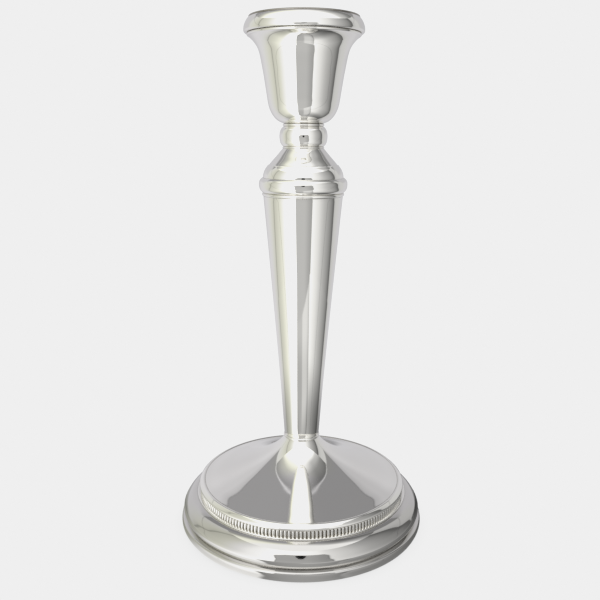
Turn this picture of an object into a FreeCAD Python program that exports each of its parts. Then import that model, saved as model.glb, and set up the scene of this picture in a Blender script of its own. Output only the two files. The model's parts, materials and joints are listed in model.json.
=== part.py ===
import math
import os

import FreeCAD
import Part

# Altar candlestick of spun sheet silver over a weighted core, with a lift-out nozzle.
# Millimetres. Origin at the centre of the underside, +Z up the axis of the stick.

# ---- driving dimensions ----
TOTAL_HEIGHT = 254.0          # felt underside to the top of the pan rim
SHEET = 0.8                   # spun sheet thickness

CANDLE_BORE_R = 11.25         # takes a 22 mm candle
CUP_WALL = 0.7
CUP_FIT_CLEARANCE = 0.06      # radial, between nozzle cup and liner
CUP_FLOOR_Z = 221.3           # where the candle stands
CUP_TOP_Z = 252.2

FELT_R = 60.2
FELT_THICKNESS = 1.4
PLATE_R = 60.0
PLATE_THICKNESS = 0.8

FOOT_R = 63.4                 # widest point of the base, on the foot band
FOOT_BAND_TOP = 5.75
TORUS_R = 62.2
TORUS_TOP = 16.9
STEP_R = 52.0                 # wall that carries the bead border
BEAD_COUNT = 180
BEAD_BOTTOM = 17.7
BEAD_TOP = 21.0
BEAD_VALLEY_R = 52.7
BEAD_PEAK_R = 53.6

CONE_TOP_R = 8.8
CONE_TOP_Z = 46.0
FOOT_RING_R = 9.4
COLUMN_BOTTOM_Z = 47.6
COLUMN_TOP_Z = 171.3
COLUMN_BOTTOM_R = 8.93
COLUMN_TOP_R = 19.45

COLLAR_BOTTOM_Z = 173.0
COLLAR_TOP_Z = 180.0
COLLAR_R = 21.55
SHOULDER_TOP_Z = 194.0
KNOP_BOTTOM_Z = 194.8
KNOP_TOP_Z = 204.4
KNOP_R = 11.55
BELL_BOTTOM_Z = 205.6
BELL_LIP_Z = 246.3
PAN_BOTTOM_Z = 246.35
PAN_R = 28.35

ROD_R = 2.5
ROD_HOLE_R = 2.7
RECESS_R = 10.0
RECESS_TOP = 9.0
GAP = 0.1                     # slack between core filling and sheet


# ---- drawing helpers: every outline lies in the plane of radius and height ----
def point(rz):
    return FreeCAD.Vector(rz[0], 0, rz[1])


def line(a, b):
    return Part.makeLine(point(a), point(b))


def arc(a, middle, b):
    return Part.Arc(point(a), point(middle), point(b)).toShape()


def curve(points):
    spline = Part.BSplineCurve()
    spline.interpolate([point(p) for p in points])
    return spline.toShape()


def inset(points, thickness):
    """The same run of points moved sideways by the sheet thickness, to its left."""
    moved = []
    last = len(points) - 1
    for i, (r, z) in enumerate(points):
        before = points[max(i - 1, 0)]
        after = points[min(i + 1, last)]
        dr = after[0] - before[0]
        dz = after[1] - before[1]
        size = math.hypot(dr, dz)
        moved.append((r - dz / size * thickness, z + dr / size * thickness))
    return moved


def turned(edges):
    """Solid of revolution about the axis of the stick."""
    wire = Part.Wire(Part.__sortEdges__(edges))
    solid = Part.Face(wire).revolve(FreeCAD.Vector(0, 0, 0), FreeCAD.Vector(0, 0, 1), 360)
    if solid.ShapeType != "Solid":
        solid = solid.Solids[0]
    if solid.Volume < 0:
        solid.reverse()
    return solid


def polygon_edges(points):
    edges = []
    for i, start in enumerate(points):
        edges.append(line(start, points[(i + 1) % len(points)]))
    return edges


def disc(radius, z0, z1, hole=0.0, edge=0.0):
    """Flat round plate, with a hole and eased rims if asked for."""
    inner = hole
    if edge == 0.0:
        return turned(polygon_edges([(inner, z0), (radius, z0), (radius, z1), (inner, z1)]))
    outline = [
        (inner, z0),
        (radius - edge, z0),
        (radius, z0 + edge),
        (radius, z1 - edge),
        (radius - edge, z1),
        (inner, z1),
    ]
    return turned(polygon_edges(outline))


def half_round_ring(inner_r, outer_r, z0, z1):
    """Wire ring with a round outside and a flat inside."""
    middle = (z0 + z1) / 2
    swell = min((z1 - z0) / 2, outer_r - inner_r)
    shoulder = outer_r - swell
    return turned([
        line((inner_r, z0), (shoulder, z0)),
        arc((shoulder, z0), (outer_r, middle), (shoulder, z1)),
        line((shoulder, z1), (inner_r, z1)),
        line((inner_r, z1), (inner_r, z0)),
    ])


def hexagon_nut(across_flats, z0, z1, hole):
    """Hexagon nut with both ends chamfered and a plain hole."""
    corner = across_flats / math.sqrt(3.0)
    corners = []
    for i in range(7):
        angle = math.radians(60.0 * i)
        corners.append(FreeCAD.Vector(corner * math.cos(angle), corner * math.sin(angle), z0))
    prism = Part.Face(Part.makePolygon(corners)).extrude(FreeCAD.Vector(0, 0, z1 - z0))
    ease = corner - across_flats / 2
    barrel = turned(polygon_edges([
        (0, z0),
        (across_flats / 2, z0),
        (corner, z0 + ease * 0.6),
        (corner, z1 - ease * 0.6),
        (across_flats / 2, z1),
        (0, z1),
    ]))
    bore = Part.makeCylinder(hole, z1 - z0 + 2, FreeCAD.Vector(0, 0, z0 - 1))
    return prism.common(barrel).cut(bore).Solids[0]


# ---- outlines that more than one piece follows ----
TORUS_OUTSIDE = [
    (60.7, 5.8),
    (61.5, 7.1),
    (62.1, 8.5),
    (TORUS_R, 9.7),
    (61.9, 10.7),
    (61.25, 11.9),
    (60.5, 13.1),
    (59.6, 14.2),
    (58.4, 15.3),
    (57.0, 16.2),
    (55.3, TORUS_TOP),
]

CONE_OUTSIDE = [
    (50.8, 23.62),
    (48.5, 24.3),
    (45.0, 25.5),
    (38.0, 27.9),
    (31.0, 30.6),
    (24.5, 33.5),
    (18.5, 36.9),
    (14.0, 40.2),
    (11.0, 43.2),
    (CONE_TOP_R, CONE_TOP_Z),
]

COLUMN_OUTSIDE = [
    (COLUMN_BOTTOM_R, COLUMN_BOTTOM_Z),
    (11.08, 76.0),
    (14.45, 116.0),
    (17.85, 154.0),
    (COLUMN_TOP_R, COLUMN_TOP_Z),
]

DOME_OUTSIDE = [
    (19.6, COLLAR_TOP_Z),
    (19.5, 181.3),
    (19.1, 182.8),
    (18.4, 184.3),
    (17.3, 185.8),
]

NECK_OUTSIDE = [
    (16.7, 186.1),
    (15.1, 188.0),
    (13.3, 190.0),
    (11.6, 192.0),
    (9.9, SHOULDER_TOP_Z),
]

KNOP_OUTSIDE = [
    (9.6, KNOP_BOTTOM_Z),
    (10.7, 195.9),
    (11.35, 197.6),
    (KNOP_R, 199.6),
    (11.35, 201.6),
    (10.7, 203.2),
    (9.5, KNOP_TOP_Z),
]

BELL_OUTSIDE = [
    (9.3, BELL_BOTTOM_Z),
    (12.0, 206.7),
    (14.2, 208.7),
    (15.9, 211.5),
    (16.9, 214.6),
    (17.5, 218.2),
    (18.2, 222.6),
    (19.0, 227.6),
    (19.9, 232.4),
    (20.8, 236.8),
    (21.9, 240.0),
    (23.4, 242.3),
    (25.2, 244.2),
    (26.2, 245.0),
]

PAN_OUTSIDE = [
    (27.7, PAN_BOTTOM_Z),
    (28.2, 246.9),
    (PAN_R, 248.0),
    (28.1, 249.6),
    (27.5, 251.1),
    (26.7, 252.4),
    (25.9, 253.2),
]


# ---- base ----
def felt_pad():
    return disc(FELT_R, 0.0, FELT_THICKNESS, edge=0.3)


def base_plate():
    top = FELT_THICKNESS + PLATE_THICKNESS
    return disc(PLATE_R, FELT_THICKNESS, top, hole=RECESS_R)


def foot_band():
    """Swelled band round the foot, with an inner lip that the ovolo stands on."""
    return turned([
        line((60.6, 0.2), (61.7, 0.2)),
        arc((61.7, 0.2), (62.3, 0.35), (62.65, 0.8)),
        curve([(62.65, 0.8), (63.15, 1.7), (FOOT_R, 3.0), (63.2, 4.3)]),
        arc((63.2, 4.3), (62.85, 5.05), (62.1, 5.45)),
        line((62.1, 5.45), (60.9, FOOT_BAND_TOP)),
        line((60.9, FOOT_BAND_TOP), (59.6, FOOT_BAND_TOP)),
        line((59.6, FOOT_BAND_TOP), (59.6, 5.05)),
        line((59.6, 5.05), (60.6, 5.05)),
        line((60.6, 5.05), (60.6, 0.2)),
    ])


def base_torus():
    """Spun ovolo that carries the step."""
    outside = TORUS_OUTSIDE
    inside = inset(outside, SHEET)
    inside[0] = (outside[0][0] - 0.9, outside[0][1])
    inside[-1] = (outside[-1][0] - 0.2, TORUS_TOP - SHEET)
    return turned([
        curve(outside),
        line(outside[-1], (52.2, TORUS_TOP)),
        line((52.2, TORUS_TOP), (52.2, TORUS_TOP - SHEET)),
        line((52.2, TORUS_TOP - SHEET), inside[-1]),
        curve(inside),
        line(inside[0], outside[0]),
    ])


def step_fillet():
    """Half-round wire in the corner under the bead border."""
    return half_round_ring(STEP_R, 54.9, TORUS_TOP, BEAD_BOTTOM)


def step_wall():
    """Upright wall behind the beads, with the plain roll above them that runs into the trumpet."""
    roll = [
        (53.1, BEAD_TOP),
        (53.75, 21.35),
        (53.8, 21.9),
        (53.2, 22.7),
        (52.4, 23.4),
        (51.8, 23.75),
        (51.3, 23.8),
        (50.9, 23.66),
    ]
    return turned([
        line((STEP_R - SHEET, TORUS_TOP), (STEP_R, TORUS_TOP)),
        line((STEP_R, TORUS_TOP), (STEP_R, BEAD_TOP)),
        line((STEP_R, BEAD_TOP), roll[0]),
        curve(roll),
        line(roll[-1], (STEP_R - SHEET, 22.6)),
        line((STEP_R - SHEET, 22.6), (STEP_R - SHEET, TORUS_TOP)),
    ])


def bead_border():
    """Cast border: upright rounded bars side by side round the step."""
    pitch = 2 * math.pi / BEAD_COUNT
    edges = []
    for i in range(BEAD_COUNT):
        ends = []
        for share, radius in ((0.0, BEAD_VALLEY_R), (0.5, BEAD_PEAK_R), (1.0, BEAD_VALLEY_R)):
            angle = (i + share) * pitch
            ends.append(FreeCAD.Vector(
                radius * math.cos(angle),
                radius * math.sin(angle),
                BEAD_BOTTOM,
            ))
        edges.append(Part.Arc(ends[0], ends[1], ends[2]).toShape())
    height = BEAD_TOP - BEAD_BOTTOM
    fluted = Part.Face(Part.Wire(edges)).extrude(FreeCAD.Vector(0, 0, height))
    hole = Part.makeCylinder(STEP_R, height + 2, FreeCAD.Vector(0, 0, BEAD_BOTTOM - 1))
    fluted = fluted.cut(hole)
    middle = (BEAD_BOTTOM + BEAD_TOP) / 2
    rounding = turned([
        line((STEP_R - 1, BEAD_BOTTOM), (BEAD_VALLEY_R + 0.2, BEAD_BOTTOM)),
        arc(
            (BEAD_VALLEY_R + 0.2, BEAD_BOTTOM),
            (BEAD_PEAK_R + 0.1, middle),
            (BEAD_VALLEY_R + 0.2, BEAD_TOP),
        ),
        line((BEAD_VALLEY_R + 0.2, BEAD_TOP), (STEP_R - 1, BEAD_TOP)),
        line((STEP_R - 1, BEAD_TOP), (STEP_R - 1, BEAD_BOTTOM)),
    ])
    return fluted.common(rounding).Solids[0]


def base_cone():
    """Trumpet that rises from the step to the column."""
    outside = CONE_OUTSIDE
    inside = inset(outside, SHEET)
    inside[0] = (outside[0][0] - 0.35, outside[0][1] - 0.85)
    inside[-1] = (CONE_TOP_R - SHEET, CONE_TOP_Z - SHEET)
    return turned([
        curve(outside),
        line(outside[-1], (ROD_HOLE_R, CONE_TOP_Z)),
        line((ROD_HOLE_R, CONE_TOP_Z), (ROD_HOLE_R, CONE_TOP_Z - SHEET)),
        line((ROD_HOLE_R, CONE_TOP_Z - SHEET), inside[-1]),
        curve(inside),
        line(inside[0], outside[0]),
    ])


def base_filling():
    """Poured weight under the trumpet, with a recess for the lower nut."""
    floor = FELT_THICKNESS + PLATE_THICKNESS
    under_cone = [
        (50.4, 22.2),
        (44.5, 24.3),
        (37.5, 26.7),
        (30.5, 29.4),
        (24.0, 32.3),
        (18.0, 35.7),
        (13.2, 39.2),
        (10.0, 42.4),
    ]
    return turned([
        line((RECESS_R, floor), (58.4, floor)),
        line((58.4, floor), (58.4, 6.3)),
        curve([(58.4, 6.3), (60.2, 7.7), (60.95, 9.5), (60.0, 11.9), (58.2, 13.8), (56.0, 15.1), (53.5, 15.7)]),
        line((53.5, 15.7), (50.4, 15.7)),
        line((50.4, 15.7), under_cone[0]),
        curve(under_cone),
        line(under_cone[-1], (ROD_HOLE_R, 42.4)),
        line((ROD_HOLE_R, 42.4), (ROD_HOLE_R, RECESS_TOP)),
        line((ROD_HOLE_R, RECESS_TOP), (RECESS_R, RECESS_TOP)),
        line((RECESS_R, RECESS_TOP), (RECESS_R, floor)),
    ])


# ---- rod and fastenings ----
def tie_rod():
    """Rod from the base recess to the bell, with plain ring grooves at both threaded ends."""
    bottom = 2.6
    top = 212.6
    pitch = 0.8
    depth = 0.25
    outline = [(0.0, bottom), (ROD_R - 0.5, bottom), (ROD_R, bottom + 0.4)]
    for start, stop in ((bottom + 0.4, 12.0), (204.0, top - 1.2)):
        z = start
        while z < stop:
            outline.append((ROD_R, z + 0.2 * pitch))
            outline.append((ROD_R - depth, z + 0.5 * pitch))
            outline.append((ROD_R, z + 0.8 * pitch))
            z += pitch
    outline.append((ROD_R, top - 0.3))
    outline.append((ROD_R - 0.5, top))
    outline.append((0.0, top))
    return turned(polygon_edges(outline))


def load_washer():
    return disc(9.0, 7.8, RECESS_TOP, hole=ROD_HOLE_R, edge=0.2)


def lock_washer():
    """Split spring washer: a ring with a narrow slanting gap."""
    ring = disc(4.6, 7.0, 7.8, hole=ROD_HOLE_R)
    slot = Part.makeBox(3.0, 0.5, 1.4, FreeCAD.Vector(2.2, -0.25, 6.7))
    slot.rotate(FreeCAD.Vector(3.6, 0, 7.4), FreeCAD.Vector(1, 0, 0), 20)
    return ring.cut(slot).Solids[0]


def bottom_nut():
    return hexagon_nut(8.0, 3.4, 7.0, ROD_R + 0.02)


def clamp_washer():
    return disc(7.4, BELL_BOTTOM_Z + SHEET, 207.4, hole=ROD_HOLE_R, edge=0.2)


def top_nut():
    return hexagon_nut(8.0, 207.4, 211.2, ROD_R + 0.02)


# ---- column ----
def column_foot_ring():
    return half_round_ring(ROD_HOLE_R + 2.0, FOOT_RING_R, CONE_TOP_Z, COLUMN_BOTTOM_Z)


def column_tube():
    outside = COLUMN_OUTSIDE
    inside = inset(outside, SHEET)
    inside[0] = (COLUMN_BOTTOM_R - SHEET, COLUMN_BOTTOM_Z)
    inside[-1] = (COLUMN_TOP_R - SHEET, COLUMN_TOP_Z)
    return turned([
        curve(outside),
        line(outside[-1], inside[-1]),
        curve(inside),
        line(inside[0], outside[0]),
    ])


def column_filling():
    side = inset(COLUMN_OUTSIDE, SHEET + GAP)
    side[0] = (COLUMN_BOTTOM_R - SHEET - GAP, COLUMN_BOTTOM_Z)
    side[-1] = (COLUMN_TOP_R - SHEET - GAP, COLUMN_TOP_Z)
    return turned([
        curve(side),
        line(side[-1], (ROD_HOLE_R, COLUMN_TOP_Z)),
        line((ROD_HOLE_R, COLUMN_TOP_Z), (ROD_HOLE_R, COLUMN_BOTTOM_Z)),
        line((ROD_HOLE_R, COLUMN_BOTTOM_Z), side[0]),
    ])


def column_top_ring():
    return half_round_ring(16.5, 20.05, COLUMN_TOP_Z, COLLAR_BOTTOM_Z)


def collar_ring():
    return turned([
        line((17.5, COLLAR_BOTTOM_Z), (19.7, COLLAR_BOTTOM_Z)),
        curve([
            (19.7, COLLAR_BOTTOM_Z),
            (20.9, 174.2),
            (COLLAR_R - 0.1, 175.7),
            (COLLAR_R, 177.2),
            (21.2, 178.8),
            (20.1, COLLAR_TOP_Z),
        ]),
        line((20.1, COLLAR_TOP_Z), (17.5, COLLAR_TOP_Z)),
        line((17.5, COLLAR_TOP_Z), (17.5, COLLAR_BOTTOM_Z)),
    ])


def shoulder_cap():
    """Dome with a hollow trumpet neck above it, closed at the top round the rod."""
    dome_in = inset(DOME_OUTSIDE, SHEET)
    dome_in[0] = (19.6 - SHEET, COLLAR_TOP_Z)
    dome_in[-1] = (16.5, 185.3)
    neck_in = inset(NECK_OUTSIDE, SHEET)
    neck_in[0] = (15.9, 185.8)
    neck_in[-1] = (9.4, SHOULDER_TOP_Z - SHEET)
    return turned([
        curve(DOME_OUTSIDE),
        line(DOME_OUTSIDE[-1], (17.15, 186.1)),
        line((17.15, 186.1), NECK_OUTSIDE[0]),
        curve(NECK_OUTSIDE),
        line(NECK_OUTSIDE[-1], (ROD_HOLE_R, SHOULDER_TOP_Z)),
        line((ROD_HOLE_R, SHOULDER_TOP_Z), (ROD_HOLE_R, SHOULDER_TOP_Z - SHEET)),
        line((ROD_HOLE_R, SHOULDER_TOP_Z - SHEET), neck_in[-1]),
        curve(neck_in),
        line(neck_in[0], dome_in[-1]),
        curve(dome_in),
        line(dome_in[0], DOME_OUTSIDE[0]),
    ])


# ---- knop ----
def knop_lower_ring():
    return half_round_ring(ROD_HOLE_R, 10.1, SHOULDER_TOP_Z, KNOP_BOTTOM_Z)


def knop():
    """Hollow ball with flat ends that the rod passes through."""
    inside = inset(KNOP_OUTSIDE, SHEET)
    inside[0] = (9.1, KNOP_BOTTOM_Z + SHEET)
    inside[-1] = (9.0, KNOP_TOP_Z - SHEET)
    return turned([
        curve(KNOP_OUTSIDE),
        line(KNOP_OUTSIDE[-1], (ROD_HOLE_R, KNOP_TOP_Z)),
        line((ROD_HOLE_R, KNOP_TOP_Z), (ROD_HOLE_R, KNOP_TOP_Z - SHEET)),
        line((ROD_HOLE_R, KNOP_TOP_Z - SHEET), inside[-1]),
        curve(inside),
        line(inside[0], (ROD_HOLE_R, KNOP_BOTTOM_Z + SHEET)),
        line((ROD_HOLE_R, KNOP_BOTTOM_Z + SHEET), (ROD_HOLE_R, KNOP_BOTTOM_Z)),
        line((ROD_HOLE_R, KNOP_BOTTOM_Z), KNOP_OUTSIDE[0]),
    ])


def knop_upper_ring():
    return half_round_ring(ROD_HOLE_R, 10.0, KNOP_TOP_Z, BELL_BOTTOM_Z)


# ---- socket ----
def socket_bell():
    """Bell-shaped socket with a flat floor and a rolled lip."""
    inside = inset(BELL_OUTSIDE, SHEET)
    inside[0] = (9.0, BELL_BOTTOM_Z + SHEET)
    inside[-1] = (25.9, 245.3)
    return turned([
        curve(BELL_OUTSIDE),
        arc(BELL_OUTSIDE[-1], (26.85, 245.65), (26.4, BELL_LIP_Z)),
        line((26.4, BELL_LIP_Z), (25.9, BELL_LIP_Z)),
        line((25.9, BELL_LIP_Z), inside[-1]),
        curve(inside),
        line(inside[0], (ROD_HOLE_R, BELL_BOTTOM_Z + SHEET)),
        line((ROD_HOLE_R, BELL_BOTTOM_Z + SHEET), (ROD_HOLE_R, BELL_BOTTOM_Z)),
        line((ROD_HOLE_R, BELL_BOTTOM_Z), BELL_OUTSIDE[0]),
    ])


def socket_liner():
    """Flanged tube inside the bell; the flange closes the bell and the floor is blind."""
    inner = CANDLE_BORE_R + CUP_WALL + CUP_FIT_CLEARANCE
    outer = inner + CUP_WALL
    floor = 216.0
    return turned([
        line((0, floor), (outer - 0.5, floor)),
        arc((outer - 0.5, floor), (outer - 0.15, floor + 0.15), (outer, floor + 0.5)),
        line((outer, floor + 0.5), (outer, 245.5)),
        line((outer, 245.5), (25.9, 245.5)),
        line((25.9, 245.5), (25.9, BELL_LIP_Z)),
        line((25.9, BELL_LIP_Z), (inner + 0.5, BELL_LIP_Z)),
        line((inner + 0.5, BELL_LIP_Z), (inner, BELL_LIP_Z - 0.5)),
        line((inner, BELL_LIP_Z - 0.5), (inner, floor + CUP_WALL)),
        line((inner, floor + CUP_WALL), (0, floor + CUP_WALL)),
        line((0, floor + CUP_WALL), (0, floor)),
    ])


# ---- lift-out nozzle ----
def nozzle_cup():
    """Tube for the candle."""
    outer = CANDLE_BORE_R + CUP_WALL
    return turned([
        line((CANDLE_BORE_R, CUP_FLOOR_Z), (outer, CUP_FLOOR_Z)),
        line((outer, CUP_FLOOR_Z), (outer, CUP_TOP_Z)),
        line((outer, CUP_TOP_Z), (CANDLE_BORE_R, CUP_TOP_Z)),
        line((CANDLE_BORE_R, CUP_TOP_Z), (CANDLE_BORE_R, CUP_FLOOR_Z)),
    ])


def nozzle_floor():
    """Disc soldered under the tube, eased at its lower edge."""
    outer = CANDLE_BORE_R + CUP_WALL
    bottom = CUP_FLOOR_Z - SHEET
    return turned([
        line((0, bottom), (outer - 0.6, bottom)),
        arc((outer - 0.6, bottom), (outer - 0.18, bottom + 0.18), (outer, bottom + 0.6)),
        line((outer, bottom + 0.6), (outer, CUP_FLOOR_Z)),
        line((outer, CUP_FLOOR_Z), (0, CUP_FLOOR_Z)),
        line((0, CUP_FLOOR_Z), (0, bottom)),
    ])


def cup_lip_ring():
    """Round wire that turns the mouth of the cup outwards."""
    middle_r = CANDLE_BORE_R + CUP_WALL
    return turned([
        line((CANDLE_BORE_R, CUP_TOP_Z), (middle_r + 0.9, CUP_TOP_Z)),
        arc(
            (middle_r + 0.9, CUP_TOP_Z),
            (middle_r + 0.3, CUP_TOP_Z + 0.85),
            (CANDLE_BORE_R, CUP_TOP_Z),
        ),
    ])


def drip_pan():
    """Cushion-shaped pan: round outside wall and a dished top."""
    cup_outer = CANDLE_BORE_R + CUP_WALL
    dished = [
        (24.9, 253.2),
        (23.6, 252.3),
        (21.0, 251.5),
        (17.5, 251.0),
        (14.5, 250.9),
        (cup_outer, 251.2),
    ]
    wall_in = inset(PAN_OUTSIDE, SHEET)
    wall_in[0] = (27.1, PAN_BOTTOM_Z + 0.75)
    wall_in[-1] = (25.0, 252.5)
    return turned([
        curve(PAN_OUTSIDE),
        line(PAN_OUTSIDE[-1], dished[0]),
        curve(dished),
        line(dished[-1], (cup_outer, 250.4)),
        curve([(cup_outer, 250.4), (14.5, 250.1), (17.5, 250.2), (21.0, 250.7), (24.0, 251.8)]),
        line((24.0, 251.8), wall_in[-1]),
        curve(wall_in),
        line(wall_in[0], (26.7, PAN_BOTTOM_Z + 0.75)),
        line((26.7, PAN_BOTTOM_Z + 0.75), (26.7, PAN_BOTTOM_Z)),
        line((26.7, PAN_BOTTOM_Z), PAN_OUTSIDE[0]),
    ])


def pan_rim_wire():
    """Bead round the top edge of the pan."""
    seat = 253.2
    return turned([
        line((24.9, seat), (25.9, seat)),
        arc((25.9, seat), (25.4, TOTAL_HEIGHT), (24.9, seat)),
    ])


def pan_underplate():
    """Flat ring that closes the pan and rests on the lip of the bell."""
    cup_outer = CANDLE_BORE_R + CUP_WALL
    return disc(26.7, PAN_BOTTOM_Z, PAN_BOTTOM_Z + 0.75, hole=cup_outer)


PIECES = [
    felt_pad,
    base_plate,
    foot_band,
    base_torus,
    step_fillet,
    step_wall,
    bead_border,
    base_cone,
    base_filling,
    load_washer,
    lock_washer,
    bottom_nut,
    tie_rod,
    column_foot_ring,
    column_tube,
    column_filling,
    column_top_ring,
    collar_ring,
    shoulder_cap,
    knop_lower_ring,
    knop,
    knop_upper_ring,
    socket_bell,
    clamp_washer,
    top_nut,
    socket_liner,
    nozzle_cup,
    nozzle_floor,
    cup_lip_ring,
    drip_pan,
    pan_rim_wire,
    pan_underplate,
]

os.makedirs("parts", exist_ok=True)
for piece in PIECES:
    solid = piece()
    print(piece.__name__, solid.ShapeType, solid.isValid(), round(solid.Volume, 1))
    solid.exportStep("parts/" + piece.__name__ + ".step")
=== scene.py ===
import json
import math

import bpy
import numpy as np
from mathutils import Matrix

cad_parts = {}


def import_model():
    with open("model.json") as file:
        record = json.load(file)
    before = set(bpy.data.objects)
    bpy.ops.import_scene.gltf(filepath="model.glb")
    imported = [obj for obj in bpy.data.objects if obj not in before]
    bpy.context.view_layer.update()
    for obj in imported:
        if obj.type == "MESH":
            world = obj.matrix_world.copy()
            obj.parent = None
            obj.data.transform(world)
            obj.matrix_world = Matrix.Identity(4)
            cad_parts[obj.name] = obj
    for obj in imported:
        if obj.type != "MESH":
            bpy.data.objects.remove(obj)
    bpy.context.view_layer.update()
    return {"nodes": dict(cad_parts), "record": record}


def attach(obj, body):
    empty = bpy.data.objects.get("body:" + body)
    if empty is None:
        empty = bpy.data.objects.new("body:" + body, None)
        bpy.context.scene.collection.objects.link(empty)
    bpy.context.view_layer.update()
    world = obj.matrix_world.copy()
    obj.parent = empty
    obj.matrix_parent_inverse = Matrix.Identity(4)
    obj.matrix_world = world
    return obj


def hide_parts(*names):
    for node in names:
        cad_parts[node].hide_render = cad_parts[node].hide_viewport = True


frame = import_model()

MM = 0.001
SEGMENTS = 288                # steps round every turned piece
SHEET = 0.8                   # sheet thickness, mm
ROD_HOLE_R = 2.7
BEAD_COUNT = 180

CORNER_TURN = 28              # outline corners that turn further than this are eased, degrees
SHARP_TURN = 38               # mesh edges that turn further than this stay sharp, degrees

# heights at which the pieces meet, mm
TORUS_TOP = 16.9
FILLET_TOP = 17.7
CONE_TOP = 46.0
COLUMN_BOTTOM = 47.6
COLUMN_TOP = 171.3
COLLAR_BOTTOM = 173.0
COLLAR_TOP = 180.0
SHOULDER_TOP = 194.0
KNOP_BOTTOM = 194.8
KNOP_TOP = 204.4
BELL_BOTTOM = 205.6

# light tent and camera, in metres and degrees
TENT_R = 0.37
TENT_HEIGHT = 0.5
CAMERA_DISTANCE = 0.359
CAMERA_HEIGHT = 0.2017
CAMERA_TILT = 12.98           # down from level
CAMERA_TURN = 0.196
CAMERA_ROLL = 0.33
SENSOR_WIDTH = 36.0           # mm
FOCAL_LENGTH = 43.74          # mm
LENS_R = 0.03
LENS_Y = -0.362
PAPER_R = 8.0
PAPER = 0.863                 # brightness at which the picture clips
GLOW = 0.93                   # brightness of the paper itself


# ---- outline helpers: points are (radius, height) in mm ----
def smooth(points, count):
    """Natural cubic curve through the points, by chord length."""
    p = np.array(points, float)
    steps = np.hypot(np.diff(p[:, 0]), np.diff(p[:, 1]))
    t = np.concatenate([[0.0], np.cumsum(steps)])
    n = len(p)
    a = np.eye(n)
    b = np.zeros((n, 2))
    for i in range(1, n - 1):
        a[i, i - 1] = steps[i - 1]
        a[i, i] = 2 * (steps[i - 1] + steps[i])
        a[i, i + 1] = steps[i]
        b[i] = 6 * ((p[i + 1] - p[i]) / steps[i] - (p[i] - p[i - 1]) / steps[i - 1])
    bend = np.linalg.solve(a, b)
    out = []
    for s in np.linspace(0, t[-1], count):
        i = min(int(np.searchsorted(t, s, side="right")) - 1, n - 2)
        i = max(i, 0)
        h = steps[i]
        u = (t[i + 1] - s) / h
        v = (s - t[i]) / h
        q = u * p[i] + v * p[i + 1]
        q = q + ((u ** 3 - u) * bend[i] + (v ** 3 - v) * bend[i + 1]) * h * h / 6
        out.append((float(q[0]), float(q[1])))
    return out


def arc(a, m, b, count=9):
    """Circle arc from a through m to b."""
    (x1, y1), (x2, y2), (x3, y3) = a, m, b
    d = 2 * (x1 * (y2 - y3) + x2 * (y3 - y1) + x3 * (y1 - y2))
    s1 = x1 * x1 + y1 * y1
    s2 = x2 * x2 + y2 * y2
    s3 = x3 * x3 + y3 * y3
    cx = (s1 * (y2 - y3) + s2 * (y3 - y1) + s3 * (y1 - y2)) / d
    cy = (s1 * (x3 - x2) + s2 * (x1 - x3) + s3 * (x2 - x1)) / d
    radius = math.hypot(x1 - cx, y1 - cy)
    start = math.atan2(y1 - cy, x1 - cx)
    turn_m = (math.atan2(y2 - cy, x2 - cx) - start) % (2 * math.pi)
    turn_b = (math.atan2(y3 - cy, x3 - cx) - start) % (2 * math.pi)
    if turn_m > turn_b:
        turn_b -= 2 * math.pi
    out = []
    for i in range(count):
        t = start + turn_b * i / (count - 1)
        out.append((cx + radius * math.cos(t), cy + radius * math.sin(t)))
    return out


def inset(points, thickness):
    """The run of points moved to its left by the sheet thickness."""
    p = np.array(points, float)
    d = np.gradient(p, axis=0)
    d /= np.hypot(d[:, 0], d[:, 1])[:, None]
    moved = p + np.stack([-d[:, 1], d[:, 0]], 1) * thickness
    return [tuple(q) for q in moved]


def ease(outline, radius):
    """Rounds every sharp corner of a closed outline."""
    p = [np.array(q, float) for q in outline]
    out = []
    n = len(p)
    for i in range(n):
        a = p[i - 1] - p[i]
        b = p[(i + 1) % n] - p[i]
        la = np.hypot(*a)
        lb = np.hypot(*b)
        if la < 1e-6:
            continue
        if lb < 1e-6:
            out.append(tuple(p[i]))
            continue
        turn = math.degrees(math.acos(max(-1.0, min(1.0, -float(a @ b) / la / lb))))
        if turn < CORNER_TURN:
            out.append(tuple(p[i]))
            continue
        cut = min(radius, 0.45 * la, 0.45 * lb)
        start = p[i] + a / la * cut
        end = p[i] + b / lb * cut
        for k in range(5):
            t = k / 4
            q = (1 - t) ** 2 * start + 2 * t * (1 - t) * p[i] + t * t * end
            out.append(tuple(q))
    return out


# ---- meshes ----
def make_object(name, verts, faces):
    mesh = bpy.data.meshes.new(name)
    mesh.from_pydata(verts, [], faces)
    mesh.validate()
    mesh.update()
    mesh.shade_smooth()
    mesh.set_sharp_from_angle(angle=math.radians(SHARP_TURN))
    obj = bpy.data.objects.new(name, mesh)
    bpy.context.scene.collection.objects.link(obj)
    return obj


def ring_faces(columns, n):
    """Joins each closed outline of n points to the next one, right round the axis."""
    faces = []
    for k in range(columns):
        here = k * n
        there = ((k + 1) % columns) * n
        for i in range(n):
            j = (i + 1) % n
            faces.append((here + i, there + i, there + j, here + j))
    return faces


def turned(name, outline, corner=0.12):
    """Closed ring of revolution about the axis of the stick."""
    points = ease(outline, corner)
    area = 0.0
    for (r0, z0), (r1, z1) in zip(points, points[1:] + points[:1]):
        area += r0 * z1 - r1 * z0
    if area < 0:
        points.reverse()
    verts = []
    for k in range(SEGMENTS):
        angle = 2 * math.pi * k / SEGMENTS
        c = math.cos(angle) * MM
        s = math.sin(angle) * MM
        for r, z in points:
            verts.append((r * c, r * s, z * MM))
    return make_object(name, verts, ring_faces(SEGMENTS, len(points)))


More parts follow.
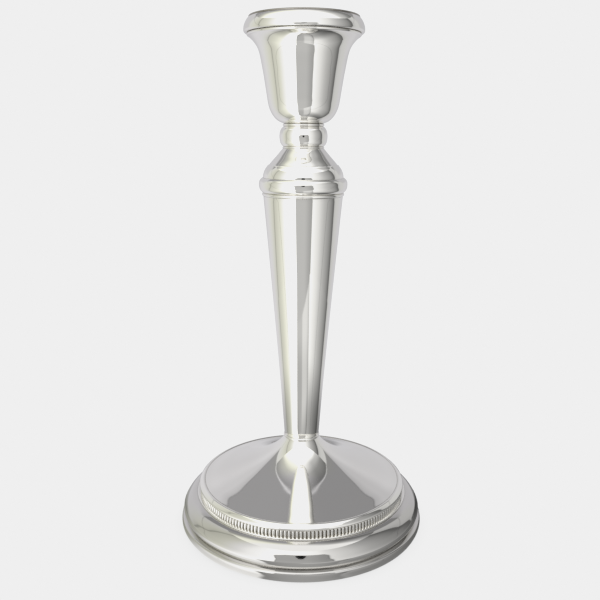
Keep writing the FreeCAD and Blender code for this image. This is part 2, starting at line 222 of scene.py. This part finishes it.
def half_round(name, inner_r, outer_r, z0, z1):
    """Wire ring with a round outside and a flat inside."""
    middle = (z0 + z1) / 2
    swell = min((z1 - z0) / 2, outer_r - inner_r)
    shoulder = outer_r - swell
    outline = [(inner_r, z0)]
    outline += arc((shoulder, z0), (outer_r, middle), (shoulder, z1), 13)
    outline.append((inner_r, z1))
    return turned(name, outline, 0.05)


# ---- outlines shared by neighbouring pieces ----
TORUS = [
    (60.7, 5.8), (61.5, 7.1), (62.1, 8.5), (62.2, 9.7), (61.9, 10.7), (61.25, 11.9),
    (60.5, 13.1), (59.6, 14.2), (58.4, 15.3), (57.0, 16.2), (55.3, 16.9),
]
ROLL = [
    (53.1, 21.0), (53.75, 21.35), (53.8, 21.9), (53.2, 22.7), (52.4, 23.4), (51.8, 23.75),
    (51.3, 23.8), (50.9, 23.66),
]
CONE = [
    (50.8, 23.62), (48.5, 24.3), (45.0, 25.5), (38.0, 27.9), (31.0, 30.6), (24.5, 33.5),
    (18.5, 36.9), (14.0, 40.2), (11.0, 43.2), (8.8, 46.0),
]
COLUMN = [(8.93, 47.6), (11.08, 76.0), (14.45, 116.0), (17.85, 154.0), (19.45, 171.3)]
COLLAR = [(19.7, 173.0), (20.9, 174.2), (21.45, 175.7), (21.55, 177.2), (21.2, 178.8), (20.1, 180.0)]
DOME = [(19.6, 180.0), (19.5, 181.3), (19.1, 182.8), (18.4, 184.3), (17.3, 185.8)]
NECK = [(16.7, 186.1), (15.1, 188.0), (13.3, 190.0), (11.6, 192.0), (9.9, 194.0)]
KNOP = [
    (9.6, 194.8), (10.7, 195.9), (11.35, 197.6), (11.55, 199.6), (11.35, 201.6),
    (10.7, 203.2), (9.5, 204.4),
]
BELL = [
    (9.3, 205.6), (12.0, 206.7), (14.2, 208.7), (15.9, 211.5), (16.9, 214.6),
    (17.5, 218.2), (18.2, 222.6), (19.0, 227.6), (19.9, 232.4), (20.8, 236.8),
    (21.9, 240.0), (23.4, 242.3), (25.2, 244.2), (26.2, 245.0),
]
PAN = [
    (27.7, 246.35), (28.2, 246.9), (28.35, 248.0), (28.1, 249.6), (27.5, 251.1),
    (26.7, 252.4), (25.9, 253.2),
]


# ---- pieces ----
def foot_band():
    outline = [(60.6, 0.2)] + arc((61.7, 0.2), (62.3, 0.35), (62.65, 0.8), 7)
    outline += smooth([(62.65, 0.8), (63.15, 1.7), (63.4, 3.0), (63.2, 4.3)], 20)[1:]
    outline += arc((63.2, 4.3), (62.85, 5.05), (62.1, 5.45), 9)[1:]
    outline += [(60.9, 5.75), (59.6, 5.75), (59.6, 5.05), (60.6, 5.05)]
    return turned("foot_band_sheet", outline, 0.1)


def base_torus():
    outside = smooth(TORUS, 60)
    inside = inset(outside, SHEET)[6:]
    outline = outside + [(52.2, 16.9), (52.2, 16.1)] + inside[::-1] + [(59.8, 5.8)]
    return turned("torus_sheet", outline, 0.05)


def step_fillet():
    return half_round("fillet_wire", 52.0, 54.9, TORUS_TOP, FILLET_TOP)


def step_wall():
    outline = [(51.2, 16.9), (52.0, 16.9), (52.0, 21.0)] + smooth(ROLL, 44)
    outline += [(50.7, 23.45), (51.2, 22.6)]
    return turned("step_moulding", outline, 0.05)


def bead_border():
    """Upright bars side by side, flat-faced, leaning in towards their rounded tops."""
    across = 12                   # steps round each bar
    rows = 14                     # steps up each bar
    full_width = 0.78             # share of the pitch that a bar fills
    lean_top = 0.42               # share of the height of relief lost by leaning in
    end_start = 0.86              # where the rounded top begins
    columns = BEAD_COUNT * across
    bottom, top = 17.72, 20.98
    inner, valley, peak = 52.02, 52.5, 53.55
    verts = []
    for k in range(columns):
        u = (k % across) / across
        side = abs(2 * u - 1) / full_width
        swell = math.sqrt(max(0.0, 1 - side ** 3))
        angle = 2 * math.pi * (k - across / 2) / columns
        c = math.cos(angle) * MM
        s = math.sin(angle) * MM
        for j in range(rows + 1):
            v = 1 - (1 - j / rows) ** 1.5
            end = max(0.0, v - end_start) / (1 - end_start)
            lean = lean_top * v ** 1.4 + 0.5 * end * v
            r = valley + (peak - valley) * swell * (1 - lean)
            verts.append((r * c, r * s, (bottom + (top - bottom) * v) * MM))
        verts.append((inner * c, inner * s, top * MM))
        verts.append((inner * c, inner * s, bottom * MM))
    return make_object("bead_bars", verts, ring_faces(columns, rows + 3))


def base_cone():
    outside = smooth(CONE, 90)
    inside = inset(outside, SHEET)[2:-2]
    outline = outside + [(ROD_HOLE_R, CONE_TOP), (ROD_HOLE_R, 45.2)]
    outline += inside[::-1] + [(50.45, 22.8)]
    return turned("trumpet_sheet", outline, 0.05)


def column_foot_ring():
    return half_round("column_foot_wire", 4.7, 9.4, CONE_TOP, COLUMN_BOTTOM)


def column_tube():
    outside = smooth(COLUMN, 70)
    inside = inset(outside, SHEET)
    inside[0] = (8.13, COLUMN_BOTTOM)
    inside[-1] = (18.65, COLUMN_TOP)
    return turned("column_sheet", outside + inside[::-1], 0.05)


def column_top_ring():
    return half_round("column_top_wire", 16.5, 20.05, COLUMN_TOP, COLLAR_BOTTOM)


def collar_ring():
    outline = [(17.5, COLLAR_BOTTOM)] + smooth(COLLAR, 26) + [(17.5, COLLAR_TOP)]
    return turned("collar_moulding", outline, 0.1)


def shoulder_cap():
    dome = smooth(DOME, 22)
    neck = smooth(NECK, 26)
    dome_in = inset(dome, SHEET)
    neck_in = inset(neck, SHEET)
    dome_in[0] = (18.8, COLLAR_TOP)
    dome_in[-1] = (16.5, 185.3)
    neck_in[0] = (15.9, 185.8)
    neck_in[-1] = (9.4, 193.2)
    outline = dome + [(17.15, 186.1)] + neck
    outline += [(ROD_HOLE_R, SHOULDER_TOP), (ROD_HOLE_R, 193.2)]
    outline += neck_in[::-1] + dome_in[::-1]
    return turned("shoulder_sheet", outline, 0.1)


def knop_lower_ring():
    return half_round("knop_lower_wire", ROD_HOLE_R, 10.1, SHOULDER_TOP, KNOP_BOTTOM)


def knop():
    outside = smooth(KNOP, 40)
    inside = inset(outside, SHEET)[3:-3]
    outline = outside + [(ROD_HOLE_R, KNOP_TOP), (ROD_HOLE_R, 203.6)]
    outline += inside[::-1] + [(ROD_HOLE_R, 195.6), (ROD_HOLE_R, KNOP_BOTTOM)]
    return turned("knop_ball", outline, 0.1)


def knop_upper_ring():
    return half_round("knop_upper_wire", ROD_HOLE_R, 10.0, KNOP_TOP, BELL_BOTTOM)


def socket_bell():
    outside = smooth(BELL, 110)
    inside = inset(outside, SHEET)[4:]
    inside[-1] = (25.9, 245.3)
    outline = outside + arc((26.2, 245.0), (26.85, 245.65), (26.4, 246.3), 9)[1:]
    outline += [(25.9, 246.3)] + inside[::-1]
    outline += [(ROD_HOLE_R, 206.4), (ROD_HOLE_R, BELL_BOTTOM)]
    return turned("bell_sheet", outline, 0.08)


def cup_lip_ring():
    outline = [(11.25, 252.2)] + arc((12.85, 252.2), (12.25, 253.05), (11.25, 252.2), 15)[:-1]
    return turned("cup_lip_wire", outline, 0.05)


def drip_pan():
    outside = smooth(PAN, 40)
    dished = smooth([
        (24.9, 253.2), (23.6, 252.3), (21.0, 251.5), (17.5, 251.0), (14.5, 250.9), (11.95, 251.2),
    ], 34)
    under = smooth([
        (11.95, 250.4), (14.5, 250.1), (17.5, 250.2), (21.0, 250.7), (24.0, 251.8),
    ], 24)
    wall_in = inset(outside, SHEET)[4:-3]
    outline = outside + dished + under + wall_in[::-1] + [(26.7, 247.1), (26.7, 246.35)]
    return turned("pan_sheet", outline, 0.08)


def pan_rim_wire():
    return turned("pan_rim_bead", arc((25.9, 253.2), (25.4, 254.0), (24.9, 253.2), 15), 0.03)


# ---- shader helpers ----
class Graph:
    """A few short calls for building a material."""

    def __init__(self, name):
        self.material = bpy.data.materials.new(name)
        self.material.use_nodes = True
        self.tree = self.material.node_tree
        self.tree.nodes.clear()

    def node(self, kind, **values):
        made = self.tree.nodes.new(kind)
        for key, value in values.items():
            setattr(made, key, value)
        return made

    def wire(self, source, target):
        self.tree.links.new(source, target)

    def math(self, operation, a, b=0.0, c=0.0):
        made = self.node("ShaderNodeMath", operation=operation)
        for slot, value in zip(made.inputs, (a, b, c)):
            if isinstance(value, (int, float)):
                slot.default_value = value
            else:
                self.wire(value, slot)
        return made.outputs[0]

    def mix(self, factor, a, b):
        made = self.node("ShaderNodeMix", data_type="RGBA")
        for key, value in ((0, factor), (6, a), (7, b)):
            if isinstance(value, (int, float)):
                made.inputs[key].default_value = value
            elif isinstance(value, tuple):
                made.inputs[key].default_value = value + (1.0,)
            else:
                self.wire(value, made.inputs[key])
        return made.outputs[2]

    def noise(self, scale, detail=2.0, stretch=(1.0, 1.0, 1.0), roughness=0.5):
        place = self.node("ShaderNodeTexCoord")
        mapping = self.node("ShaderNodeMapping")
        mapping.inputs["Scale"].default_value = stretch
        self.wire(place.outputs["Object"], mapping.inputs["Vector"])
        made = self.node("ShaderNodeTexNoise")
        made.inputs["Scale"].default_value = scale
        made.inputs["Detail"].default_value = detail
        made.inputs["Roughness"].default_value = roughness
        self.wire(mapping.outputs[0], made.inputs["Vector"])
        return made.outputs["Fac"]

    def ramp(self, value, stops):
        made = self.node("ShaderNodeValToRGB")
        band = made.color_ramp
        while len(band.elements) > 1:
            band.elements.remove(band.elements[-1])
        for i, (place, level) in enumerate(stops):
            spot = band.elements[0] if i == 0 else band.elements.new(place)
            spot.position = place
            spot.color = (level, level, level, 1.0)
        self.wire(value, made.inputs[0])
        return made.outputs[0]

    def body(self, metallic):
        made = self.node("ShaderNodeBsdfPrincipled")
        made.inputs["Metallic"].default_value = metallic
        return made

    def bump(self, height, strength, distance, under=None):
        """Bump of the given depth in metres, laid over another one if asked for."""
        made = self.node("ShaderNodeBump")
        made.inputs["Strength"].default_value = strength
        made.inputs["Distance"].default_value = distance
        self.wire(height, made.inputs["Height"])
        if under is not None:
            self.wire(under, made.inputs["Normal"])
        return made.outputs[0]

    def finish(self, shader):
        end = self.node("ShaderNodeOutputMaterial")
        self.wire(shader, end.inputs["Surface"])
        return self.material


def radius_of(g):
    """Distance from the axis, in mm."""
    place = g.node("ShaderNodeTexCoord")
    split = g.node("ShaderNodeSeparateXYZ")
    g.wire(place.outputs["Object"], split.inputs[0])
    xx = g.math("MULTIPLY", split.outputs[0], split.outputs[0])
    total = g.math("MULTIPLY_ADD", split.outputs[1], split.outputs[1], xx)
    return g.math("MULTIPLY", g.math("SQRT", total), 1000.0)


def silver(name, colour, rough, tarnish=0.25, wave=0.02, crease_shade=None):
    """Polished silver: fine turning lines, faint hairlines, a little tarnish in the corners, and
    painted shade along one crease when one is given.
    """
    g = Graph(name)
    body = g.body(1.0)
    cloud = g.noise(60.0, 4.0)
    specks = g.noise(900.0, 3.0)
    lines = g.noise(40.0, 6.0, (1.0, 1.0, 60.0), 0.7)
    hair = g.noise(300.0, 2.0, (6.0, 0.4, 3.0))
    corner = g.node("ShaderNodeAmbientOcclusion", samples=6, inside=False)
    corner.inputs["Distance"].default_value = 0.0012
    closed = g.ramp(corner.outputs["AO"], [(0.35, 1.0), (0.85, 0.0)])
    tarnish_and_shade = g.math("MULTIPLY", closed, g.math("MULTIPLY_ADD", cloud, 0.8, 0.4))
    tarnish_and_shade = g.math("MULTIPLY", tarnish_and_shade, tarnish)
    if crease_shade is not None:
        # Painted shade: a dark ring about one radius, on a crease or between the bead bars, taken
        # together with the tarnish.
        middle, reach, depth = crease_shade
        painted_crease = g.node("ShaderNodeMapRange", clamp=True)
        painted_crease.inputs["From Min"].default_value = 0.0
        painted_crease.inputs["From Max"].default_value = reach
        painted_crease.inputs["To Min"].default_value = depth
        painted_crease.inputs["To Max"].default_value = 0.0
        away = g.math("ABSOLUTE", g.math("SUBTRACT", radius_of(g), middle))
        g.wire(away, painted_crease.inputs[0])
        tarnish_and_shade = g.math("MAXIMUM", tarnish_and_shade, painted_crease.outputs[0])
    # Tarnish and the painted crease shade both pull the colour toward the warm dark tint.
    warm = tuple(c * f for c, f in zip(colour, (0.22, 0.2, 0.17)))
    tint = g.mix(tarnish_and_shade, colour, warm)
    film = g.ramp(cloud, [(0.35, 0.0), (0.75, 0.06)])
    tint = g.mix(film, tint, tuple(c * f for c, f in zip(colour, (0.9, 0.86, 0.76))))
    g.wire(tint, body.inputs["Base Color"])
    uneven = g.ramp(specks, [(0.4, 0.0), (0.8, 0.03)])
    smear = g.ramp(cloud, [(0.4, 0.0), (0.7, 0.02)])
    total = g.math("ADD", g.math("ADD", uneven, smear), rough)
    total = g.math("MULTIPLY_ADD", tarnish_and_shade, 0.3, total)
    g.wire(total, body.inputs["Roughness"])
    swell = g.noise(70.0, 1.0)
    height = g.math("MULTIPLY_ADD", lines, 0.15, g.math("MULTIPLY", hair, 0.1))
    scratches = g.bump(height, 0.35, 0.00001)
    g.wire(g.bump(swell, 1.0, wave * MM, scratches), body.inputs["Normal"])
    return g.finish(body.outputs[0])


def satin_silver():
    return silver("satin_silver", (0.9, 0.885, 0.84), 0.28, 0.5)


def tinned_steel():
    g = Graph("tinned_steel")
    body = g.body(1.0)
    cloud = g.noise(120.0, 5.0)
    tint = g.mix(g.ramp(cloud, [(0.3, 0.0), (0.8, 1.0)]), (0.6, 0.6, 0.6), (0.4, 0.39, 0.37))
    g.wire(tint, body.inputs["Base Color"])
    g.wire(g.math("MULTIPLY_ADD", cloud, 0.3, 0.25), body.inputs["Roughness"])
    g.wire(g.bump(g.noise(1500.0, 3.0), 0.4, 0.00003), body.inputs["Normal"])
    return g.finish(body.outputs[0])


def yellow_brass():
    g = Graph("yellow_brass")
    body = g.body(1.0)
    cloud = g.noise(200.0, 4.0)
    tint = g.mix(g.ramp(cloud, [(0.4, 0.0), (0.75, 0.6)]), (0.78, 0.6, 0.3), (0.42, 0.27, 0.12))
    g.wire(tint, body.inputs["Base Color"])
    g.wire(g.math("MULTIPLY_ADD", cloud, 0.25, 0.15), body.inputs["Roughness"])
    turning = g.noise(80.0, 3.0, (1.0, 1.0, 30.0))
    g.wire(g.bump(turning, 0.3, 0.00003), body.inputs["Normal"])
    return g.finish(body.outputs[0])


def plaster():
    g = Graph("plaster")
    body = g.body(0.0)
    grain = g.noise(900.0, 6.0)
    cloud = g.noise(60.0, 3.0)
    g.wire(g.mix(cloud, (0.8, 0.77, 0.7), (0.68, 0.64, 0.56)), body.inputs["Base Color"])
    body.inputs["Roughness"].default_value = 0.92
    g.wire(g.bump(grain, 0.6, 0.0002), body.inputs["Normal"])
    return g.finish(body.outputs[0])


def felt():
    g = Graph("felt")
    body = g.body(0.0)
    fibres = g.noise(2600.0, 5.0, (1.0, 1.0, 1.0), 0.75)
    cloud = g.noise(90.0, 3.0)
    tint = g.mix(fibres, (0.018, 0.06, 0.034), (0.07, 0.17, 0.11))
    tint = g.mix(g.math("MULTIPLY", cloud, 0.4), tint, (0.1, 0.16, 0.12))
    g.wire(tint, body.inputs["Base Color"])
    body.inputs["Roughness"].default_value = 0.95
    body.inputs["Sheen Weight"].default_value = 0.5
    g.wire(g.bump(fibres, 0.9, 0.0002), body.inputs["Normal"])
    return g.finish(body.outputs[0])


# ---- light tent ----
# Angles go round the stick from the camera side (0), to its right (+) and left (-).
WALL = [
    (-180, 0.55), (-160, 0.68), (-145, 0.70), (-125, 0.68), (-115, 0.64), (-109.5, 0.56),
    (-108.2, 0.36), (-106.5, 0.40), (-105, 0.58), (-95, 0.64), (-85, 0.72), (-75, 0.83),
    (-65, 0.95), (-55, 1.15), (-30, 1.45), (0, 1.4), (20, 1.2), (30, 1.0), (42, 0.86), (52, 0.76),
    (62, 0.62), (72, 0.50), (83, 0.41), (95, 0.32), (104, 0.24), (110, 0.16), (115, 0.13),
    (116.5, 0.5), (125, 0.58), (138, 0.60), (150, 0.62), (160, 0.62), (170, 0.58), (180, 0.55),
]


def across_and_back(angle, radius):
    """Position on the tent: x to the camera's right, y away from the camera."""
    turn = np.radians(angle)
    return radius * np.sin(turn), -radius * np.cos(turn)


def by_angle(stops, angle):
    return np.interp(angle, [s[0] for s in stops], [s[1] for s in stops])


def step(value, low, high):
    t = np.clip((value - low) / (high - low), 0.0, 1.0)
    return t * t * (3 - 2 * t)


def band(value, middle, width):
    return np.exp(-((value - middle) / width) ** 2)


def tint_of(angle):
    """The left side of the tent is a little warm, the back a little cool."""
    warm = step(angle, -125, -95) * (1 - step(angle, -75, -55))
    cool = step(np.abs(angle), 118, 135)
    red = 1.0 - 0.01 * cool
    green = 1.0 + 0.005 * warm - 0.02 * cool
    blue = 1.0 - 0.11 * warm + 0.02 * cool
    return np.stack([red, green, blue], -1)


def slot_tone(x, height):
    return 0.52 - 0.03 * step(height, 0.07, 0.15) - 0.14 * step(x, 0.02, 0.17)


def in_slot(x, height):
    """Opening in the front of the tent: narrower above the camera."""
    close = step(height, 0.19, 0.25)
    left = -0.130 - 0.015 * step(height, 0.15, 0.19) + 0.055 * close
    right = 0.165 - 0.012 * step(height, 0.10, 0.15) - 0.02 * close
    inside = step(x, left - 0.002, left + 0.002) * (1 - step(x, right - 0.002, right + 0.002))
    inside = inside * (1 - step(height, 0.248, 0.254))
    rim = np.maximum(band(x, left, 0.005), band(x, right, 0.006)) * (height < 0.25)
    return inside, rim


def wall_glow(angle, height):
    left_seam = 106 - 16 * step(height, -0.02, 0.15)
    right_seam = 113 - 15 * step(height, -0.02, 0.15)
    left_angle = np.where(-angle < left_seam, angle * 108 / left_seam, angle - 108 + left_seam)
    right_angle = np.where(angle < right_seam, angle * 115 / right_seam, angle + 115 - right_seam)
    tone = by_angle(WALL, np.where(angle < 0, left_angle, right_angle))
    back = np.abs(angle)
    rear = np.where(angle < 0, 0.60, 0.52)
    tone = tone + (rear - tone) * step(back, 116, 124) * step(height, 0.20, 0.28)
    front = back < 90
    x, _ = across_and_back(angle, TENT_R)
    inside, rim = in_slot(x, height)
    tone = tone + (slot_tone(x, height) - tone) * inside * front
    tone = tone * (1 - 0.35 * rim * front)
    return tone[..., None] * tint_of(angle)


def ceiling_glow(angle, height):
    """What the rear walls show to a steeply rising reflection: the grey ceiling."""
    tone = wall_glow(angle, height)
    ceiling = np.where(angle < 0, 0.32, 0.27)[..., None] * tint_of(angle)
    return tone + (ceiling - tone) * step(np.abs(angle), 119, 121)[..., None]


def roof_glow(angle, radius):
    """White cover over the front half, darker towards its back edge, grey ceiling behind."""
    x, y = across_and_back(angle, radius)
    edge = 0.134 + 0.45 * x * x
    behind = y - edge
    cover = np.interp(behind, [-0.202, -0.142, -0.097, -0.052, -0.012], [1.15, 0.88, 0.54, 0.42, 0.31])
    cover = cover * (1 - 0.5 * step(x, 0.0, 0.16) * step(y, -0.12, -0.02))
    rim = np.where(x < 0, 0.66, 0.55)
    cover = cover + (rim - cover) * band(y, edge, 0.005)
    ceiling = 0.32 - 0.05 * step(x, -0.1, 0.1)
    tone = cover + (ceiling - cover) * step(behind, 0.004, 0.009)
    return tone[..., None] * tint_of(angle)


def floor_glow(angle, radius):
    """White table with a grey lane towards the camera, darkened close to the foot by a painted shadow
    of the foot.
    """
    tone = by_angle(WALL, angle)
    x, y = across_and_back(angle, radius)
    ahead = -y
    stations = [0.064, 0.068, 0.073, 0.087, 0.14, 0.37]
    left = np.interp(ahead, stations, [-0.019, -0.023, -0.027, -0.043, -0.063, -0.130])
    right = np.interp(ahead, stations, [0.021, 0.024, 0.029, 0.050, 0.083, 0.165])
    lane = step(x, left - 0.002, left + 0.002) * (1 - step(x, right - 0.002, right + 0.002))
    lane = lane * step(ahead, 0.05, 0.06)
    rim = np.maximum(band(x, left, 0.004), band(x, right, 0.006)) * (ahead > 0.075)
    across = (x - left) / (right - left)
    far_tone = 0.44 + 0.20 * step(across, 0.38, 0.50) - 0.10 * step(across, 0.75, 0.95)
    near_tone = 0.30 + 0.14 * np.sin(np.pi * np.clip(across, 0.0, 1.0))
    middle = near_tone + (far_tone - near_tone) * step(ahead, 0.075, 0.13)
    middle = middle + 0.12 * step(ahead, 0.16, 0.24)
    far = step(ahead - 0.35 * x, 0.265, 0.28)
    middle = middle + (slot_tone(x, 0.0) - middle) * far
    # Painted shadow of the foot on the table: darker near the foot except on the open left-front side,
    # darkest right at the foot.
    foot_shadow_tone = np.where(angle < 0, 0.66, 0.42)
    unshadowed_side = step(angle, -75, -55) * (1 - step(angle, 0, 25))
    foot_shadow_tone = foot_shadow_tone + (1 - foot_shadow_tone) * unshadowed_side
    shade = foot_shadow_tone + (1 - foot_shadow_tone) * step(radius, 0.10, 0.21)
    shade = shade * (0.72 + 0.28 * step(radius, 0.066, 0.085))
    tone = tone * shade
    tone = tone + (middle - tone) * lane
    tone = tone * (1 - 0.4 * rim)
    return tone[..., None] * tint_of(angle)


def only_in_reflections(obj):
    obj.visible_camera = False
    obj.visible_shadow = False


def glow_sheet(name, points, colours, columns, upper=None):
    """Grid of glowing points, closed round the stick, seen only in reflections."""
    rows = len(points) // columns
    faces = []
    for j in range(rows - 1):
        for k in range(columns):
            n = (k + 1) % columns
            low = j * columns
            high = low + columns
            faces.append((low + k, low + n, high + n, high + k))
    mesh = bpy.data.meshes.new(name)
    mesh.from_pydata([tuple(p) for p in points], [], faces)
    for title, tones in (("glow", colours), ("upper", colours if upper is None else upper)):
        layer = mesh.color_attributes.new(title, "FLOAT_COLOR", "POINT")
        flat = np.concatenate([tones, np.ones((len(tones), 1))], 1).astype(np.float32)
        layer.data.foreach_set("color", flat.ravel())
    obj = bpy.data.objects.new(name, mesh)
    bpy.context.scene.collection.objects.link(obj)
    only_in_reflections(obj)
    return obj


def glow_material():
    """Glow painted on the sheet; reflections that rise steeply backwards see the upper tones."""
    g = Graph("tent_light")
    low = g.node("ShaderNodeVertexColor", layer_name="glow").outputs[0]
    high = g.node("ShaderNodeVertexColor", layer_name="upper").outputs[0]
    geometry = g.node("ShaderNodeNewGeometry")
    split = g.node("ShaderNodeSeparateXYZ")
    g.wire(geometry.outputs["Incoming"], split.inputs[0])
    up = g.math("MULTIPLY", split.outputs[2], -1.0)
    rise = g.math("MULTIPLY_ADD", split.outputs[1], 1.09, up)
    slope = g.math("ADD", rise, 0.5)
    steep = g.ramp(slope, [(0.495, 0.0), (0.505, 1.0)])
    shade = g.ramp(slope, [(0.36, 0.0), (0.485, 0.35), (0.505, 0.0)])
    seam = g.ramp(slope, [(0.48, 0.0), (0.492, 0.30), (0.504, 0.30), (0.516, 0.0)])
    tone = g.mix(steep, g.mix(shade, low, high), high)
    tone = g.mix(seam, tone, (0.0, 0.0, 0.0))
    light = g.node("ShaderNodeEmission")
    g.wire(tone, light.inputs[0])
    made = g.finish(light.outputs[0])
    made.cycles.emission_sampling = "NONE"
    return made


def light_tent():
    columns = 720
    angle = np.linspace(-180, 180, columns, endpoint=False)
    light = glow_material()

    heights = np.linspace(0.0, TENT_HEIGHT, 201)
    a, h = np.meshgrid(angle, heights)
    x, y = across_and_back(a, TENT_R)
    points = np.stack([x, y, h], -1).reshape(-1, 3)
    upper = ceiling_glow(a, h).reshape(-1, 3)
    wall = glow_sheet("tent_wall", points, wall_glow(a, h).reshape(-1, 3), columns, upper)
    wall.data.materials.append(light)

    ends = (("tent_roof", TENT_HEIGHT, roof_glow), ("tent_floor", 0.0, floor_glow))
    for name, height, glow in ends:
        radii = np.linspace(0.001, TENT_R, 150)
        a, r = np.meshgrid(angle, radii)
        x, y = across_and_back(a, r)
        points = np.stack([x, y, np.full_like(x, height)], -1).reshape(-1, 3)
        sheet = glow_sheet(name, points, glow(a, r).reshape(-1, 3), columns)
        sheet.data.materials.append(light)


def lens_disc():
    """Front of the lens, dark, seen only in the silver."""
    corners = 48
    verts = []
    for k in range(corners):
        t = 2 * math.pi * k / corners
        verts.append((LENS_R * math.cos(t), LENS_Y, CAMERA_HEIGHT + LENS_R * math.sin(t)))
    obj = make_object("lens_front", verts, [tuple(range(corners))])
    g = Graph("lens_black")
    light = g.node("ShaderNodeEmission")
    light.inputs[0].default_value = (0.012, 0.012, 0.013, 1.0)
    obj.data.materials.append(g.finish(light.outputs[0]))
    only_in_reflections(obj)


def paper_floor():
    """Pale floor that runs into the background, with a faint shade where the foot stands."""
    corners = 96
    verts = []
    for k in range(corners):
        t = 2 * math.pi * k / corners
        verts.append((PAPER_R * math.cos(t), PAPER_R * math.sin(t), 0.0))
    obj = make_object("paper_floor", verts, [tuple(range(corners))])
    g = Graph("pale_paper")
    near = g.node("ShaderNodeAmbientOcclusion", samples=12, only_local=False)
    near.inputs["Distance"].default_value = 0.012
    open_sky = g.ramp(near.outputs["AO"], [(0.0, 0.82), (1.0, 1.0)])
    light = g.node("ShaderNodeEmission")
    light.inputs[0].default_value = (GLOW, GLOW, GLOW, 1.0)
    g.wire(open_sky, light.inputs[1])
    made = g.finish(light.outputs[0])
    made.cycles.emission_sampling = "NONE"
    obj.data.materials.append(made)
    obj.visible_glossy = False
    obj.visible_diffuse = False
    obj.visible_transmission = False
    obj.visible_shadow = False


def world():
    made = bpy.data.worlds.new("studio")
    bpy.context.scene.world = made
    made.use_nodes = True
    tree = made.node_tree
    tree.nodes.clear()
    path = tree.nodes.new("ShaderNodeLightPath")
    seen = tree.nodes.new("ShaderNodeBackground")
    seen.inputs[0].default_value = (GLOW, GLOW, GLOW, 1.0)
    other = tree.nodes.new("ShaderNodeBackground")
    other.inputs[0].default_value = (0.6, 0.6, 0.6, 1.0)
    blend = tree.nodes.new("ShaderNodeMixShader")
    end = tree.nodes.new("ShaderNodeOutputWorld")
    tree.links.new(path.outputs["Is Camera Ray"], blend.inputs[0])
    tree.links.new(other.outputs[0], blend.inputs[1])
    tree.links.new(seen.outputs[0], blend.inputs[2])
    tree.links.new(blend.outputs[0], end.inputs[0])


def camera():
    data = bpy.data.cameras.new("camera")
    data.sensor_width = SENSOR_WIDTH
    data.lens = FOCAL_LENGTH
    data.clip_start = 0.01
    obj = bpy.data.objects.new("camera", data)
    bpy.context.scene.collection.objects.link(obj)
    yaw = Matrix.Rotation(math.radians(CAMERA_TURN), 4, "Z")
    pitch = Matrix.Rotation(math.radians(90 - CAMERA_TILT), 4, "X")
    roll = Matrix.Rotation(math.radians(CAMERA_ROLL), 4, "Z")
    place = Matrix.Translation((0.0, -CAMERA_DISTANCE, CAMERA_HEIGHT))
    obj.matrix_world = place @ yaw @ pitch @ roll
    bpy.context.scene.camera = obj


def exposure():
    """The camera clips to the paper's brightness, with a short shoulder below it."""
    look = bpy.context.scene.view_settings
    look.view_transform = "Standard"
    look.look = "None"
    look.use_curve_mapping = True
    curve = look.curve_mapping
    combined = curve.curves[3]
    combined.points[0].location = (0.0, 0.0)
    combined.points[1].location = (1.0, PAPER)
    for x, y in ((0.78, 0.78), (0.84, 0.83), (0.90, PAPER)):
        combined.points.new(x, y)
    for point in combined.points:
        point.handle_type = "VECTOR"
    curve.update()


# ---- assembly ----
NODE_SLOTS = {s["node"]: s["material_slot"] for s in frame["record"]["subparts"]}
POLISHED = (0.965, 0.955, 0.92)
SHADED = (0.70, 0.69, 0.67)   # stands in for darker surroundings near the table
materials = {
    "polished_silver": silver("polished_silver", POLISHED, 0.025),
    # cast_silver has painted shade in a dark ring between the bead bars.
    "cast_silver": silver("cast_silver", (0.95, 0.94, 0.905), 0.05, 0.5, 0.01, (52.5, 0.4, 0.97)),
    "satin_silver": satin_silver(),
    "tinned_steel": tinned_steel(),
    "yellow_brass": yellow_brass(),
    "plaster": plaster(),
    "felt": felt(),
}
# Painted shade: the foot band and torus get a darker copy of the polished silver, standing in for
# darker reflected surroundings.
shaded_base_silver = silver("polished_silver_base_shaded", SHADED, 0.03, 0.3)
# Copies of the polished silver with painted shade in one crease: where the roll meets the cone, and
# where the pan meets its rim bead.
step_silver_crease_shade = silver("polished_silver_step_crease_shade", POLISHED, 0.025, 0.25, 0.02, (50.9, 0.35, 0.4))
rim_silver_crease_shade = silver("polished_silver_rim_crease_shade", POLISHED, 0.025, 0.3, 0.02, (25.9, 0.32, 0.9))
OWN_FINISH = {
    "foot_band": shaded_base_silver,
    "base_torus": shaded_base_silver,
    "step_wall": step_silver_crease_shade,
    "base_cone": step_silver_crease_shade,
    "drip_pan": rim_silver_crease_shade,
    "pan_rim_wire": rim_silver_crease_shade,
}

REDRAWN = {
    "stick": [
        foot_band, base_torus, step_fillet, step_wall, bead_border, base_cone, column_foot_ring,
        column_tube, column_top_ring, collar_ring, shoulder_cap, knop_lower_ring, knop,
        knop_upper_ring, socket_bell,
    ],
    "nozzle": [cup_lip_ring, drip_pan, pan_rim_wire],
}
for node, obj in frame["nodes"].items():
    obj.data.materials.clear()
    obj.data.materials.append(materials[NODE_SLOTS[node]])
for body, builders in REDRAWN.items():
    for build in builders:
        node = build.__name__
        slot = NODE_SLOTS[node]
        piece = build()
        piece.data.materials.append(OWN_FINISH.get(node, materials[slot]))
        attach(piece, body)
        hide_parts(node)

light_tent()
lens_disc()
paper_floor()
world()
camera()
exposure()
